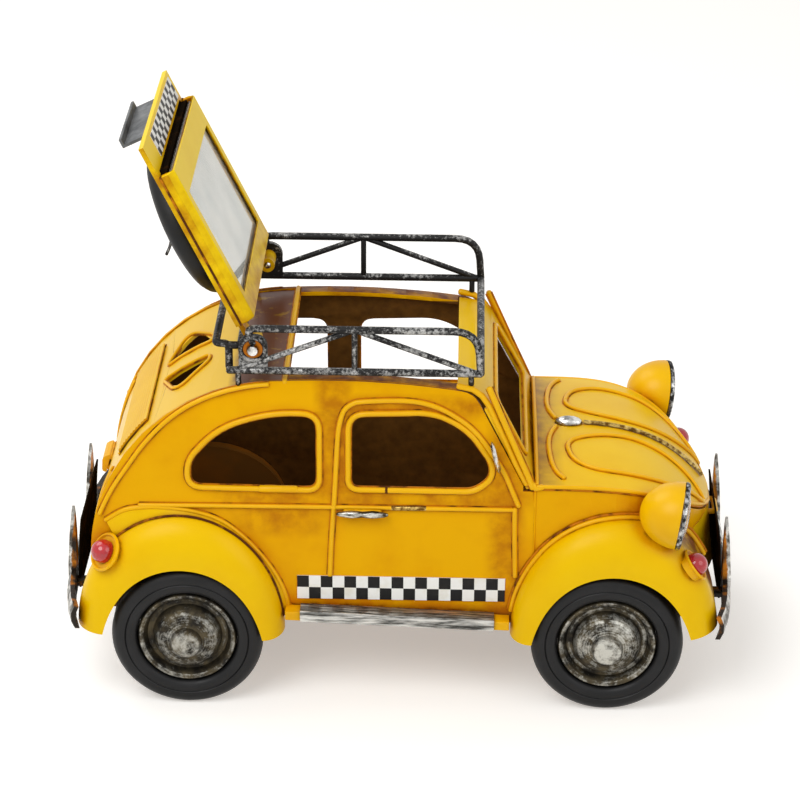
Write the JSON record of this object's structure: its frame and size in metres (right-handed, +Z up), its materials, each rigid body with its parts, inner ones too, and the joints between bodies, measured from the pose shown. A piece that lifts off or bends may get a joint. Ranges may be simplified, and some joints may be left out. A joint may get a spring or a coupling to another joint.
{
  "type": "model car",
  "caption": "Tinplate-style model of a rounded taxi saloon whose open roof holds pens, with a wire roof rack and a hinged lid that carries a photo frame, a spare wheel and a sign board.",
  "frame": {"origin": "on the ground under the middle of the car, half way between the axles", "axes": "+X to the front of the car, +Y to its left, +Z up"},
  "size_m": [0.222, 0.1144, 0.1917],
  "materials": {
    "body_paint": "aged yellow enamel with brown wash in the seams",
    "bright_metal": "dull bright plating",
    "aged_metal": "dark, rubbed silver on the edges",
    "black_wire": "black paint, dry-brushed with silver",
    "clear_glass": "clear",
    "red_lens": "glossy",
    "card": "plain card",
    "tyre": "matte"
  },
  "bodies": {
    "car": {"floor_pan": "body_paint", "side_panel_left": "body_paint", "side_panel_right": "body_paint", "rear_skin": "body_paint", "engine_lid": "body_paint", "plate_lamp": "body_paint", "windscreen_frame": "body_paint", "bonnet": "body_paint", "nose_shell": "body_paint", "nose_handle": "body_paint", "fender_front_left": "body_paint", "fender_front_right": "body_paint", "fender_rear_left": "body_paint", "fender_rear_right": "body_paint", "running_board_left": "body_paint", "running_board_right": "body_paint", "headlamp_shell_left": "body_paint", "headlamp_shell_right": "body_paint", "tread_strip_left": "bright_metal", "tread_strip_right": "bright_metal", "headlamp_rim_left": "bright_metal", "headlamp_rim_right": "bright_metal", "bumper_front": "bright_metal", "bumper_rear": "bright_metal", "bonnet_ornament": "bright_metal", "wing_mirror_left": "bright_metal", "wing_mirror_right": "bright_metal", "hinge_pin_left": "bright_metal", "hinge_pin_right": "bright_metal", "bonnet_spine": "aged_metal", "door_handle_left": "aged_metal", "door_handle_right": "aged_metal", "rack_side_left": "black_wire", "rack_side_right": "black_wire", "rack_front_bar": "black_wire", "rack_rear_frame": "black_wire", "headlamp_lens_left": "clear_glass", "headlamp_lens_right": "clear_glass", "front_indicator_left": "red_lens", "front_indicator_right": "red_lens", "tail_lamp_left": "red_lens", "tail_lamp_right": "red_lens"},
    "lid": {"lid_plate": "body_paint", "photo_frame": "body_paint", "photo_window": "clear_glass", "spare_tyre": "tyre", "spare_wheel": "tyre", "roof_sign": "black_wire"},
    "photo": {"photo_card": "card"},
    "front_wheels": {"axle_front": "aged_metal", "tyre_front_left": "tyre", "tyre_front_right": "tyre", "wheel_front_left": "aged_metal", "wheel_front_right": "aged_metal"},
    "rear_wheels": {"axle_rear": "aged_metal", "tyre_rear_left": "tyre", "tyre_rear_right": "tyre", "wheel_rear_left": "aged_metal", "wheel_rear_right": "aged_metal"}
  },
  "joints": [
    {"name": "lid_hinge", "type": "hinge", "parent": "car", "child": "lid", "pos_m": [-0.0463, 0, 0.1253], "axis": [0, 1, 0], "range_deg": [0, 116]},
    {"name": "photo_slide", "type": "slide", "parent": "lid", "child": "photo", "axis": [-0.4384, 0, 0.8988], "range_m": [0, 0.05]},
    {"name": "front_axle_spin", "type": "hinge", "parent": "car", "child": "front_wheels", "pos_m": [0.069, 0, 0.025], "axis": [0, 1, 0], "continuous": true},
    {"name": "rear_axle_spin", "type": "hinge", "parent": "car", "child": "rear_wheels", "pos_m": [-0.069, 0, 0.025], "axis": [0, 1, 0], "continuous": true}
  ]
}
